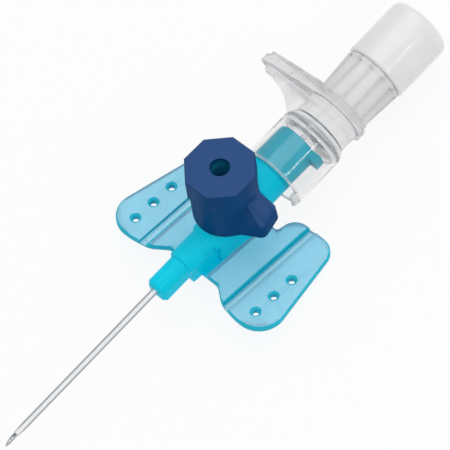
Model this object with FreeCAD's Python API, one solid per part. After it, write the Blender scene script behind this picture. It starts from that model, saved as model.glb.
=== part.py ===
"""Winged intravenous cannula with an injection port, as sold ready to use.

Millimetres. X runs along the needle from the tip to the rear, Y points to the left wing and Z
points up. The origin is where the needle's axis leaves the front face of the catheter hub's nose.
"""
import FreeCAD, Part
import math
import os

Vector = FreeCAD.Vector
Rotation = FreeCAD.Rotation
Placement = FreeCAD.Placement
X_AXIS = Vector(1, 0, 0)
Y_AXIS = Vector(0, 1, 0)
Z_AXIS = Vector(0, 0, 1)
ORIGIN = Vector(0, 0, 0)

# Clearances between pieces that move past each other, and small standard sizes
slide_gap = 0.05        # radial gap of a sliding or luer fit
wall = 0.42             # wall of the clear shroud
overlap = 0.5           # how far cutting and joining tools reach past a face
lip = 0.2               # bevel on the rims of the mouldings
facet = 0.29            # inset of a two-step bevel's middle corner, as a share of its depth

# Needle and catheter
needle_od = 0.60
needle_bore = 0.36
needle_front = 27.0     # needle tip ahead of the nose face
bevel_angle = 14.0      # degrees between the bevel and the needle
catheter_od = 0.90
catheter_bore = 0.70
tip_showing = 2.0       # bare needle ahead of the catheter
catheter_taper = 1.6    # length of the thinned catheter tip
catheter_tip_od = 0.78

# Steel ferrule that wedges the catheter's flared end into the hub
flare_front = 5.0
flare_length = 1.6
flare_od = 2.10
ferrule_start = 0.4     # front of the ferrule, behind the start of the flare
ferrule_tail = 1.8
ferrule_wall = 0.13

# Catheter hub: nose, two stepped collars and the luer barrel
nose_r = 1.45
nose_depth = 1.85       # flat underside below the needle's axis
nose_length = 4.6
nose_bevel = 0.45
nose_corner_r = 0.5
collar_r = 1.80
collar_end = 9.0
body_r = 2.10
body_end = 12.6
barrel_r = 3.0
barrel_front = 17.2
barrel_length = 8.9
barrel_rear = barrel_front + barrel_length
luer_mouth_r = 2.15
luer_slope = 0.03       # six per cent taper on the diameter
luer_depth = 7.6
chamber_r = 1.70        # bore under the port
lug_r = 4.1
lug_width = 2.0
lug_length = 1.1

# Wings, in a plane that drops towards the rear
wing_angle = 10.1       # degrees between the wings and the needle
wing_x = 9.55           # where the middle stitching holes lie along the needle
wing_drop = 4.0         # depth of the wings' middle plane below the needle there
wing_thick = 1.0
wing_front = -3.4       # root of the front edge, from the middle holes
wing_rear = 7.35        # root of the rear edge
wing_lead = -5.55       # foremost line of the wing
wing_tail = 10.3        # rearmost line of the wing
wing_reach = 14.3       # half span on the foremost line, before its corner is rounded
wing_slant = 11.3       # degrees by which the outer edge closes in towards the rear
wing_edge = 0.2         # bevel all round the wings
wing_root_half = 4.1    # half width where the front edge meets the keel
wing_root_r = 1.4
wing_brow_half = 6.3    # turn of the front edge, this far from the middle
wing_brow_back = 0.5    # and this far behind the foremost line
wing_brow_r = 3.0
wing_crest_inset = 1.15  # turn onto the foremost line, this far inside the corner's rounding
wing_crest_r = 8.0
wing_corner_r = 3.4
wing_tail_r = 2.4
notch_half = 4.25       # open notch between the wings' tails, beside the barrel
notch_r = 2.1
notch_seat_half = 3.85
notch_seat_r = 0.5
hinge_inner = 6.6
hinge_outer = 7.7
hinge_depth = 0.5
hole_pitch = 3.17
hole_y = 10.43
hole_d = 0.9
hole_rim_d = 1.65
hole_rim_depth = 0.3
keel_half = 1.5         # half width of the keel under the collar
keel_body_half = 2.05   # half width of the keel under the body
keel_flare = 0.5        # widening towards the rear

# Injection port
port_x = 13.3           # where the port's axis meets the needle's
port_lean = 7.1         # degrees by which the port leans back from square to the needle
port_r = 3.0
port_bore_r = 2.05
port_height = 6.7
port_foot = 1.3         # height over which the port widens out of the body

# Silicone valve sleeve under the port
valve_bore_r = 1.25
valve_length = 6.8

# Port cap, heights from the needle's axis along the port
cap_base = 1.75
cap_top = 10.95
cap_head = 3.35
cap_flats = 8.75
cap_body_r = 4.3
cap_hub_gap = 0.15      # play where the skirt straddles the hub
cap_turn = 2.0          # degrees by which the octagon sits turned on the port
cap_bevel = 0.2
cap_recess_r = 1.3
cap_recess_depth = 5.35
cap_pin_length = 3.4
cap_roof_gap = 0.2
cap_sides = 8
tab_angle = -75.5       # degrees from the rear, towards the right wing
tab_reach = 6.5
tab_half = 1.85
tab_corner_r = 0.9
tab_flare_angle = 52.0  # where the tab's sides leave the cap's round body, from the tab's own line
tab_flare_half = 2.7    # half width at the foot of the flare
tab_draft = 0.1
tab_tip_height = 2.0
tab_top_reach = 4.15    # where the ramp runs into the round body
tab_top_half = 1.25
tab_top_height = 5.3
tab_top_corner_r = 0.3

# Clear needle hub, set off to the right of the needle
hub_offset = -0.9
shroud_r = 4.45
shroud_reach = 5.6      # how far the shroud reaches over the barrel
tongue_length = 1.0
tongue_half = 1.1
barrel_gap = 0.8        # room behind the barrel, so that the luer cones seat first
shroud_wall = 2.0       # solid wall at the shroud's rear
shroud_round = 1.2
neck_r = 3.8
neck_length = 2.7
plate_thick = 1.0
plate_step = 0.7
plate_step_inset = 0.8
plate_disc_r = 4.3
plate_reach = 12.5      # end of the thumb plate from the clear hub's own axis
plate_end_r = 1.3
web_thick = 1.1
web_curve_r = 9.0
web_root_depth = 0.6    # how far the web's ends run into the shroud and the plate
web_overhang = 0.7      # web's depth at the end of the thumb plate
web_base_depth = 2.0
grip_front_r = 3.65
grip_rear_r = 4.05
grip_length = 5.7
grip_flutes = 12
flute_r = 0.9
flute_depth = 0.35
flute_margin = 0.6      # plain rim at each end of the flutes
flash_bore_r = 2.6
flash_depth = 4.5
needle_seat = 0.9       # how far the needle reaches behind the barrel
luer_tip_gap = 0.6      # room ahead of the male luer's tip
shroud_front = barrel_rear - shroud_reach
tongue_front = shroud_front - tongue_length
shroud_wall_front = barrel_rear + barrel_gap
shroud_rear = shroud_wall_front + shroud_wall
plate_front = shroud_rear + neck_length
plate_rear = plate_front + plate_thick + plate_step
grip_rear = plate_rear + grip_length
flash_front = grip_rear - flash_depth
needle_rear = barrel_rear + needle_seat

# White vent plug and its filter disc
plug_r = 4.25
plug_length = 8.85
plug_bevel = 0.4
plug_round = 1.0
plug_seam = 0.05
plug_rear = grip_rear + plug_seam + plug_length
spigot_length = 2.8
plug_bore_r = 2.2
plug_floor = 2.0
vent_r = 0.5
filter_thick = 0.8


def outline(points):
    """Return a closed wire in XY from (x, y) corners, or (x, y, radius) where one is rounded."""
    corners = [(Vector(p[0], p[1], 0), p[2] if len(p) > 2 else 0.0) for p in points]
    ends, arcs = [], []
    for index, (corner, radius) in enumerate(corners):
        before = corners[index - 1][0]
        after = corners[(index + 1) % len(corners)][0]
        if radius == 0.0:
            ends.append((corner, corner))
            arcs.append(None)
            continue
        back = (before - corner).normalize()
        ahead = (after - corner).normalize()
        half = back.getAngle(ahead) / 2
        reach = radius / math.tan(half)
        middle = (back + ahead).normalize()
        bend = corner + middle * (radius / math.sin(half) - radius)
        ends.append((corner + back * reach, corner + ahead * reach))
        arcs.append(bend)
    edges = []
    for index, (start, finish) in enumerate(ends):
        if arcs[index] is not None:
            edges.append(Part.Arc(start, arcs[index], finish).toShape())
        following = ends[(index + 1) % len(ends)][0]
        if finish.distanceToPoint(following) > 1e-6:
            edges.append(Part.LineSegment(finish, following).toShape())
    return Part.Wire(edges)


def turned(points, side=0.0):
    """Revolve an (x, radius) outline about the needle's axis, moved sideways by side."""
    solid = Part.Face(outline(points)).revolve(ORIGIN, X_AXIS, 360)
    solid.translate(Vector(0, side, 0))
    return solid


def slab(points, bottom, top):
    """Extrude an XY outline from one height to another."""
    face = Part.Face(outline(points))
    face.translate(Vector(0, 0, bottom))
    return face.extrude(Vector(0, 0, top - bottom))


def tube_section(half_width, depth, corner, front, rear):
    """Extrude along X a section with a round top and a flat underside."""
    top = Part.Arc(Vector(0, -half_width, 0), Vector(0, 0, half_width), Vector(0, half_width, 0))
    low = corner * (1 - math.sqrt(0.5))
    right = Part.Arc(
        Vector(0, half_width, corner - depth),
        Vector(0, half_width - low, low - depth),
        Vector(0, half_width - corner, -depth),
    )
    left = Part.Arc(
        Vector(0, corner - half_width, -depth),
        Vector(0, low - half_width, low - depth),
        Vector(0, -half_width, corner - depth),
    )
    sides = [
        Part.LineSegment(Vector(0, half_width, 0), Vector(0, half_width, corner - depth)),
        right,
        Part.LineSegment(Vector(0, half_width - corner, -depth), Vector(0, corner - half_width, -depth)),
        left,
        Part.LineSegment(Vector(0, -half_width, corner - depth), Vector(0, -half_width, 0)),
    ]
    wire = Part.Wire([top.toShape()] + [side.toShape() for side in sides])
    face = Part.Face(wire)
    face.translate(Vector(front, 0, 0))
    return face.extrude(Vector(rear - front, 0, 0))


def in_wing_frame(solid):
    """Move a solid drawn about the middle stitching holes to its place on the hub."""
    placed = solid.copy()
    placed.Placement = Placement(Vector(wing_x, 0, -wing_drop), Rotation(Y_AXIS, wing_angle))
    return placed


def in_port_frame(solid):
    """Move a solid drawn about the port's axis to its place on the hub."""
    placed = solid.copy()
    placed.Placement = Placement(Vector(port_x, 0, 0), Rotation(Y_AXIS, port_lean))
    return placed


def luer_radius(x):
    """Radius of the barrel's tapered bore at a place along the needle."""
    return luer_mouth_r - luer_slope * (barrel_rear - x)


def needle_tube():
    """Steel needle with a slanted bevel whose point is on the underside."""
    radius = needle_od / 2
    tube = Part.makeCylinder(radius, needle_front + needle_rear, Vector(-needle_front, 0, 0), X_AXIS)
    bore = Part.makeCylinder(
        needle_bore / 2, needle_front + needle_rear + 2, Vector(-needle_front - 1, 0, 0), X_AXIS
    )
    bevel = needle_od / math.tan(math.radians(bevel_angle))
    cutter = slab(
        [
            (-needle_front, -radius),
            (-needle_front + bevel, radius),
            (-needle_front + bevel, radius + overlap),
            (-needle_front - overlap, radius + overlap),
            (-needle_front - overlap, -radius),
        ],
        -needle_od,
        needle_od,
    )
    cutter.rotate(ORIGIN, X_AXIS, 90)
    return tube.cut(bore).cut(cutter)


def catheter_tube():
    """Catheter with a thinned tip and a flared end that the ferrule wedges in the hub."""
    front = tip_showing - needle_front
    outer = catheter_od / 2
    inner = catheter_bore / 2
    flare_end = flare_front + flare_length
    return turned(
        [
            (front, inner),
            (front, catheter_tip_od / 2),
            (front + catheter_taper, outer),
            (flare_front, outer),
            (flare_end, flare_od / 2),
            (flare_end, flare_od / 2 - (outer - inner)),
            (flare_front, inner),
        ]
    )


def catheter_ferrule():
    """Steel funnel inside the catheter's flared end."""
    inner = catheter_bore / 2
    seat_end = flare_front + flare_length
    seat_r = flare_od / 2 - (catheter_od - catheter_bore) / 2
    start = flare_front + ferrule_start
    start_r = inner + (seat_r - inner) * ferrule_start / flare_length
    return turned(
        [
            (start, start_r - ferrule_wall),
            (start, start_r),
            (seat_end, seat_r),
            (seat_end, flare_od / 2),
            (seat_end + ferrule_tail, flare_od / 2),
            (seat_end + ferrule_tail, seat_r - ferrule_wall),
            (seat_end, seat_r - ferrule_wall),
        ]
    )


def valve_sleeve():
    """Silicone tube that lines the bore and seals the port from inside."""
    front = port_x - valve_length / 2
    rear = port_x + valve_length / 2
    return turned([(front, valve_bore_r), (front, chamber_r), (rear, chamber_r), (rear, valve_bore_r)])


def wing_outline():
    """Corners of both wings, from the front of the left root round to the right root."""
    slant = math.tan(math.radians(wing_slant))
    tail_reach = wing_reach - (wing_tail - wing_lead) * slant
    corner_reach = wing_corner_r * math.tan(math.radians((90 + wing_slant) / 2))
    crest_half = wing_reach - corner_reach - wing_crest_inset
    half = [
        (wing_front, wing_root_half, wing_root_r),
        (wing_lead + wing_brow_back, wing_brow_half, wing_brow_r),
        (wing_lead, crest_half, wing_crest_r),
        (wing_lead, wing_reach, wing_corner_r),
        (wing_tail, tail_reach, wing_tail_r),
        (wing_tail, notch_half, notch_r),
        (wing_rear, notch_seat_half, notch_seat_r),
    ]
    mirrored = [(x, -y, radius) for x, y, radius in reversed(half)]
    return half + mirrored


def wings():
    """Flat pair of wings with a thin hinge band and three stitching holes on each side."""
    plate = slab(wing_outline(), -wing_thick / 2, wing_thick / 2)
    rims = [edge for edge in plate.Edges if abs(edge.BoundBox.ZLength) < 1e-6]
    plate = plate.makeChamfer(wing_edge, rims)
    chord = wing_tail - wing_lead + 2 * overlap
    for side in (-1, 1):
        inner = min(side * hinge_inner, side * hinge_outer)
        band = Part.makeBox(
            chord,
            hinge_outer - hinge_inner,
            hinge_depth + overlap,
            Vector(wing_lead - overlap, inner, wing_thick / 2 - hinge_depth),
        )
        plate = plate.cut(band)
        for step in (-1, 0, 1):
            centre = Vector(step * hole_pitch, side * hole_y, -wing_thick)
            plate = plate.cut(Part.makeCylinder(hole_d / 2, 2 * wing_thick, centre))
            rim_base = Vector(centre.x, centre.y, wing_thick / 2 - hole_rim_depth)
            slope = (hole_rim_d - hole_d) / 2 / hole_rim_depth
            rim_top_r = hole_rim_d / 2 + slope * overlap
            rim = Part.makeCone(hole_d / 2, rim_top_r, hole_rim_depth + overlap, rim_base)
            plate = plate.cut(rim)
    return in_wing_frame(plate)


def keel():
    """Rib that carries the hub's tube on the wings, wider under the body than the collar."""
    front = nose_length - wing_x
    step = collar_end - wing_x
    half = [
        (front, keel_half),
        (step, keel_half),
        (step, keel_body_half),
        (wing_rear, keel_body_half + keel_flare),
    ]
    mirrored = [(x, -y) for x, y in reversed(half)]
    block = in_wing_frame(slab(half + mirrored, 0.0, 2 * wing_drop))
    above = Part.makeBox(barrel_rear, 2 * barrel_r, 2 * wing_drop, Vector(0, -barrel_r, 0))
    return block.cut(above)


def hub_tube_outline(gap=0.0):
    """Half outline of the hub's round body from the collar to the barrel's rear face."""
    return [
        (nose_length, 0),
        (nose_length, collar_r + gap - lip),
        (nose_length + lip, collar_r + gap),
        (collar_end, collar_r + gap),
        (collar_end, body_r + gap - lip),
        (collar_end + lip, body_r + gap),
        (body_end, body_r + gap),
        (barrel_front, barrel_r + gap),
        (barrel_rear - lip, barrel_r + gap),
        (barrel_rear, barrel_r + gap - lip),
        (barrel_rear, 0),
    ]


def catheter_hub():
    """One moulding: nose, stepped tube, wings, injection port and luer barrel with its lug."""
    nose = tube_section(nose_r, nose_depth, nose_corner_r, 0.0, nose_length + overlap)
    face_rim = [edge for edge in nose.Edges if edge.BoundBox.XMax < 1e-6]
    nose = nose.makeChamfer(nose_bevel, face_rim)
    foot = Part.makeCone(body_r, port_r, port_foot)
    port = Part.makeCylinder(port_r, port_height - port_foot, Vector(0, 0, port_foot))
    port = in_port_frame(port.fuse(foot))
    lug = Part.makeBox(
        lug_length, lug_r, lug_width, Vector(barrel_rear - lug_length, -lug_r, -lug_width / 2)
    )
    lug_limit = Part.makeCylinder(lug_r, lug_length, Vector(barrel_rear - lug_length, 0, 0), X_AXIS)
    body = turned(hub_tube_outline()).fuse([nose, keel(), wings(), port, lug.common(lug_limit)])
    flare_end = flare_front + flare_length
    ferrule_end = flare_end + ferrule_tail
    luer_front = barrel_rear - luer_depth
    bore = turned(
        [
            (-overlap, 0),
            (-overlap, catheter_od / 2),
            (flare_front, catheter_od / 2),
            (flare_end, flare_od / 2),
            (ferrule_end, flare_od / 2),
            (ferrule_end, chamber_r),
            (luer_front, chamber_r),
            (luer_front, luer_radius(luer_front)),
            (barrel_rear + overlap, luer_radius(barrel_rear + overlap)),
            (barrel_rear + overlap, 0),
        ]
    )
    port_bore = in_port_frame(Part.makeCylinder(port_bore_r, port_height + overlap, ORIGIN))
    return body.cut([bore, port_bore]).removeSplitter()


def port_cap():
    """Octagonal cap with a pull tab, a sealing pin and an arch that straddles the hub."""
    head_base = cap_top - cap_head
    corner_r = cap_flats / 2 / math.cos(math.pi / cap_sides)
    corners = []
    for index in range(cap_sides):
        angle = 2 * math.pi * (index + 0.5) / cap_sides + math.radians(cap_turn)
        corners.append((corner_r * math.cos(angle), corner_r * math.sin(angle)))
    head = slab(corners, head_base, cap_top)
    top_rim = [edge for edge in head.Edges if edge.BoundBox.ZMin > cap_top - 1e-6]
    head = head.makeChamfer(cap_bevel, top_rim)
    body = Part.makeCylinder(cap_body_r, head_base - cap_base, Vector(0, 0, cap_base))
    body = body.fuse([head, cap_tab()])
    socket_r = port_r + 2 * slide_gap
    roof = port_height + cap_roof_gap
    socket_base = Vector(0, 0, cap_base - overlap)
    body = body.cut(Part.makeCylinder(socket_r, roof - cap_base + overlap, socket_base))
    pin_base = Vector(0, 0, roof - cap_pin_length)
    pin = Part.makeCylinder(port_bore_r - slide_gap, cap_pin_length + overlap, pin_base)
    pin_rim = [edge for edge in pin.Edges if edge.BoundBox.ZMax < pin_base.z + 1e-6]
    body = body.fuse(pin.makeChamfer(lip, pin_rim))
    recess_base = Vector(0, 0, cap_top - cap_recess_depth)
    recess = Part.makeCylinder(cap_recess_r, cap_recess_depth + overlap, recess_base)
    body = in_port_frame(body.cut(recess))
    return body.cut(turned(hub_tube_outline(cap_hub_gap))).removeSplitter()


def tab_section(height, half_width, reach, corner_r, flare_half):
    """Wire of the tab's section at a height: a rounded end that flares into the cap's round body."""
    turn = math.radians(tab_flare_angle)
    root = Vector(cap_body_r * math.cos(turn), cap_body_r * math.sin(turn), 0)
    root.y -= tab_flare_half - flare_half
    foot = root.x + (root.y - flare_half) / math.tan(math.pi / 2 - turn)
    wire = outline(
        [
            (root.x, -root.y),
            (foot, -flare_half),
            (reach, -half_width, corner_r),
            (reach, half_width, corner_r),
            (foot, flare_half),
            (root.x, root.y),
        ]
    )
    wire.translate(Vector(0, 0, cap_base + height))
    return wire


def cap_tab():
    """Pull tab: a wedge that ramps down from the cap's round body to a blunt end."""
    tip_half = tab_half - tab_draft
    tip_reach = tab_reach - tab_draft
    sections = [
        tab_section(0.0, tab_half, tab_reach, tab_corner_r, tab_flare_half),
        tab_section(tab_tip_height, tip_half, tip_reach, tab_corner_r, tab_flare_half),
        tab_section(tab_top_height, tab_top_half, tab_top_reach, tab_top_corner_r, tab_top_half),
    ]
    wedge = Part.makeLoft(sections, True, True)
    wedge.rotate(ORIGIN, Z_AXIS, tab_angle)
    return wedge


def thumb_plate_face(disc_r, end_r):
    """Section of the thumb plate: a disc drawn out to a small round end on the left."""
    reach = plate_reach - plate_end_r
    lean = math.asin((disc_r - end_r) / reach)
    low = Vector(0, disc_r * math.sin(lean), -disc_r * math.cos(lean))
    high = Vector(0, low.y, -low.z)
    end_low = Vector(0, reach + end_r * math.sin(lean), -end_r * math.cos(lean))
    end_high = Vector(0, end_low.y, -end_low.z)
    wire = Part.Wire(
        [
            Part.Arc(low, Vector(0, -disc_r, 0), high).toShape(),
            Part.LineSegment(high, end_high).toShape(),
            Part.Arc(end_high, Vector(0, reach + end_r, 0), end_low).toShape(),
            Part.LineSegment(end_low, low).toShape(),
        ]
    )
    return Part.Face(wire)


def thumb_plate():
    """Plate that the thumb pushes, its stepped back and the web that braces it."""
    plate = thumb_plate_face(plate_disc_r, plate_end_r).extrude(Vector(plate_thick, 0, 0))
    plate.translate(Vector(plate_front, hub_offset, 0))
    inset_disc = plate_disc_r - plate_step_inset / 2
    step = thumb_plate_face(inset_disc, plate_end_r - plate_step_inset / 2)
    step = step.extrude(Vector(plate_step + overlap, 0, 0))
    step.translate(Vector(plate_front + plate_thick - overlap, hub_offset, 0))
    return [plate, step, thumb_web()]


def thumb_web():
    """Curved web in the middle plane, from the shroud's shoulder out to the thumb plate's end."""
    root_y = hub_offset + shroud_r - web_root_depth
    end_y = hub_offset + plate_reach - plate_end_r
    base_y = root_y - web_base_depth
    front = Vector(shroud_rear - shroud_round - web_root_depth, root_y, 0)
    tip = Vector(plate_front - web_overhang, end_y, 0)
    chord = tip - front
    bow = chord.Length ** 2 / (8 * web_curve_r)
    bulge = (front + tip) * 0.5 + Vector(chord.y, -chord.x, 0).normalize() * bow
    corners = [
        tip,
        Vector(plate_front + overlap, end_y, 0),
        Vector(plate_front + overlap, base_y, 0),
        Vector(front.x, base_y, 0),
        front,
    ]
    edges = [Part.Arc(front, bulge, tip).toShape()]
    for start, finish in zip(corners, corners[1:]):
        edges.append(Part.LineSegment(start, finish).toShape())
    web = Part.Face(Part.Wire(edges))
    web.translate(Vector(0, 0, -web_thick / 2))
    return web.extrude(Vector(0, 0, web_thick))


def needle_hub():
    """Clear moulding: male luer, shroud with its tongue, thumb plate and fluted flash chamber."""
    inner_r = shroud_r - wall
    body = turned(
        [
            (shroud_wall_front, 0),
            (shroud_wall_front, inner_r),
            (shroud_front, inner_r),
            (shroud_front, shroud_r - lip),
            (shroud_front + lip, shroud_r),
            (shroud_rear - shroud_round, shroud_r),
            (shroud_rear - shroud_round * facet, shroud_r - shroud_round * facet),
            (shroud_rear, shroud_r - shroud_round),
            (shroud_rear, neck_r),
            (plate_front + overlap, neck_r),
            (plate_front + overlap, 0),
        ],
        hub_offset,
    )
    grip = turned(
        [
            (plate_rear - overlap, 0),
            (plate_rear - overlap, grip_front_r),
            (grip_rear - lip, grip_rear_r),
            (grip_rear, grip_rear_r - lip),
            (grip_rear, 0),
        ],
        hub_offset,
    )
    flutes = []
    flute_front = plate_rear + flute_margin
    for index in range(grip_flutes):
        angle = 2 * math.pi * (index + 0.5) / grip_flutes
        distance = grip_rear_r + flute_r - flute_depth
        start = Vector(flute_front, hub_offset + distance * math.cos(angle), distance * math.sin(angle))
        flutes.append(Part.makeCylinder(flute_r, grip_rear - flute_margin - flute_front, start, X_AXIS))
    grip = grip.cut(flutes)
    luer_tip = barrel_rear - luer_depth + luer_tip_gap
    luer_root = shroud_wall_front + overlap
    luer = turned(
        [
            (luer_tip, 0),
            (luer_tip, luer_radius(luer_tip) - slide_gap),
            (luer_root, luer_radius(luer_root) - slide_gap),
            (luer_root, 0),
        ]
    )
    ring = turned(
        [
            (tongue_front, inner_r),
            (tongue_front, shroud_r - lip),
            (tongue_front + lip, shroud_r),
            (shroud_front + overlap, shroud_r),
            (shroud_front + overlap, inner_r),
        ],
        hub_offset,
    )
    tongue_box = Part.makeBox(
        shroud_front - tongue_front + 2 * overlap,
        shroud_r,
        2 * tongue_half,
        Vector(tongue_front - overlap, hub_offset - shroud_r - overlap, -tongue_half),
    )
    body = body.fuse([grip, luer, ring.common(tongue_box)] + thumb_plate())
    seat = Part.makeCylinder(needle_od / 2, needle_rear, ORIGIN, X_AXIS)
    channel = Part.makeCylinder(needle_bore / 2, flash_front + overlap, ORIGIN, X_AXIS)
    flash = Part.makeCylinder(
        flash_bore_r, flash_depth + overlap, Vector(flash_front, hub_offset, 0), X_AXIS
    )
    return body.cut([seat, channel, flash]).removeSplitter()


def flash_plug():
    """White vent plug: a hollow knob with a spigot that seats in the flash chamber."""
    front = grip_rear + plug_seam
    spigot_r = flash_bore_r - slide_gap
    return turned(
        [
            (grip_rear - spigot_length, plug_bore_r),
            (grip_rear - spigot_length, spigot_r),
            (front, spigot_r),
            (front, plug_r - plug_bevel),
            (front + plug_bevel, plug_r),
            (plug_rear - plug_round, plug_r),
            (plug_rear - plug_round * facet, plug_r - plug_round * facet),
            (plug_rear, plug_r - plug_round),
            (plug_rear, vent_r),
            (plug_rear - plug_floor, vent_r),
            (plug_rear - plug_floor, plug_bore_r),
        ],
        hub_offset,
    )


def filter_disc():
    """Porous disc that lets air out of the flash chamber and holds blood back."""
    seat = plug_rear - plug_floor
    return Part.makeCylinder(plug_bore_r, filter_thick, Vector(seat - filter_thick, hub_offset, 0), X_AXIS)


def main():
    """Build every piece and write one STEP file for each."""
    os.makedirs("parts", exist_ok=True)
    pieces = {
        "needle_tube": needle_tube(),
        "catheter_tube": catheter_tube(),
        "catheter_ferrule": catheter_ferrule(),
        "catheter_hub": catheter_hub(),
        "valve_sleeve": valve_sleeve(),
        "port_cap": port_cap(),
        "needle_hub": needle_hub(),
        "flash_plug": flash_plug(),
        "filter_disc": filter_disc(),
    }
    for name, shape in pieces.items():
        solids = shape.Solids
        solid = solids[0] if len(solids) == 1 else shape
        print(name, "solids", len(solids), "valid", shape.isValid(), "volume", round(shape.Volume, 2))
        solid.exportStep(os.path.join("parts", name + ".step"))


main()
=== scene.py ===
"""Winged intravenous cannula with a capped injection port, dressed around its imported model.

The needle lies along X with its tip towards -X, the left wing points to +Y and the port stands up along Z.
Sizes are in millimetres and are turned to metres where a mesh, light or camera is made.
"""
import logging
import math
from collections.abc import Sequence
from dataclasses import dataclass, field
from enum import Enum

import bmesh
import bpy
from mathutils import Matrix, Vector


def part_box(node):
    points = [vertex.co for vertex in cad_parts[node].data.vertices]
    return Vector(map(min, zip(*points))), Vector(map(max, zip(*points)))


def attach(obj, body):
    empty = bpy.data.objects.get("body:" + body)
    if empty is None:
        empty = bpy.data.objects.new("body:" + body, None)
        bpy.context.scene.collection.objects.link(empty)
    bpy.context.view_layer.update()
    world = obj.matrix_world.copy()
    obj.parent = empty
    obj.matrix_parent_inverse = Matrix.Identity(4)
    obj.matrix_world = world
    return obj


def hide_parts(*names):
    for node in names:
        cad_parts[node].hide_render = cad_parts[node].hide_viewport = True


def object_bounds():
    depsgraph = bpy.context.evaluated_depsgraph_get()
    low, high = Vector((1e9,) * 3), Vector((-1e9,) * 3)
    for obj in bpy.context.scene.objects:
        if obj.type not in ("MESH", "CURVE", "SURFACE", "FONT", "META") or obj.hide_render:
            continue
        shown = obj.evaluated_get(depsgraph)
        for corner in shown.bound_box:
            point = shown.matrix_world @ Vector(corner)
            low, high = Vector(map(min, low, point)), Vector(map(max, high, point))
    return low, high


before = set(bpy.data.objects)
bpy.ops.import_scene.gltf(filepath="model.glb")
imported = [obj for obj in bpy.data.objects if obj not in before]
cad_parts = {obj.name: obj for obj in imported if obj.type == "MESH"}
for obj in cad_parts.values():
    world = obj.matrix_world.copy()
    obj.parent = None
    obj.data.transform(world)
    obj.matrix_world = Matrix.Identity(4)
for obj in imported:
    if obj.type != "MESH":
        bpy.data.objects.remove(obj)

logging.basicConfig(level=logging.INFO, format="%(message)s")
log = logging.getLogger("cannula")

MM = 0.001
WORLD_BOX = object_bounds()
Socket = bpy.types.NodeSocket
Source = bpy.types.Node | bpy.types.NodeSocket
Tree = bpy.types.NodeTree
# Where a tone, a haze or a share starts to change, and where it has changed.
Span = tuple[float, float]

# A noise texture's values gather round a half, so these spans of them are stretched to the full range.
NOISE_CORE = (0.35, 0.65)
NOISE_WIDE = (0.3, 0.7)


class Body(Enum):
    """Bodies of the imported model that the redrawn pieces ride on."""

    CANNULA = "cannula"
    STYLET = "stylet"
    PLUG = "plug"


def linear(colour: str) -> tuple[float, float, float, float]:
    """Turn an sRGB hex colour to linear values.

    Args:
        colour: six hex digits, with or without a leading hash.

    Returns:
        Linear red, green and blue, and an alpha of one.
    """
    digits = colour.lstrip("#")
    values = [int(digits[at:at + 2], 16) / 255 for at in (0, 2, 4)]
    red, green, blue = (v / 12.92 if v <= 0.04045 else ((v + 0.055) / 1.055) ** 2.4 for v in values)
    return red, green, blue, 1.0


def add_node(
    tree: Tree,
    kind: str,
    settings: dict[str | int, object] | None = None,
    links: dict[str | int, Source] | None = None,
) -> bpy.types.Node:
    """Add one shader node.

    Args:
        tree: the node tree that takes it.
        kind: Blender's name for the node's type.
        settings: properties by name, and input values by name or place.
        links: what feeds its inputs, by input name or place; a node gives its first output.

    Returns:
        The new node.
    """
    made = tree.nodes.new(kind)
    for name, value in (settings or {}).items():
        if isinstance(name, str) and hasattr(made, name):
            setattr(made, name, value)
        else:
            made.inputs[name].default_value = value
    for name, source in (links or {}).items():
        feed = source.outputs[0] if isinstance(source, bpy.types.Node) else source
        tree.links.new(feed, made.inputs[name])
    return made


def blank_material(name: str) -> tuple[bpy.types.Material, Tree]:
    """Make a material with an empty node tree.

    Args:
        name: the material's name.

    Returns:
        The material and its node tree.
    """
    material = bpy.data.materials.new(name)
    material.use_nodes = True
    material.node_tree.nodes.clear()
    return material, material.node_tree


def let_lamps_through(tree: Tree, surface: Source, tint: str, share: float) -> bpy.types.Node:
    """Let light from the lamps pass a clear wall, tinted, so that what lies behind it isn't black.

    Args:
        tree: the material's node tree.
        surface: the shader seen by every other ray.
        tint: the colour that the passing light takes.
        share: how much of the light passes, from 0 to 1.

    Returns:
        The mixed shader.
    """
    shadow = add_node(tree, "ShaderNodeLightPath").outputs["Is Shadow Ray"]
    amount = add_node(tree, "ShaderNodeMath", {"operation": "MULTIPLY", 1: share}, {0: shadow})
    clear = add_node(tree, "ShaderNodeBsdfTransparent", {"Color": linear(tint)})
    return add_node(tree, "ShaderNodeMixShader", {}, {0: amount, 1: surface, 2: clear})


def seen_directly(tree: Tree) -> Source:
    """Return 1 for camera, glossy and transmission rays, and 0 for those that only carry light.

    Args:
        tree: the node tree of the floor or the sky.

    Returns:
        What gives the mask.
    """
    path = add_node(tree, "ShaderNodeLightPath")
    seen: Source = path.outputs["Is Camera Ray"]
    for ray in ("Is Glossy Ray", "Is Transmission Ray"):
        seen = add_node(tree, "ShaderNodeMath", {"operation": "MAXIMUM"}, {0: seen, 1: path.outputs[ray]})
    return seen


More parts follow.
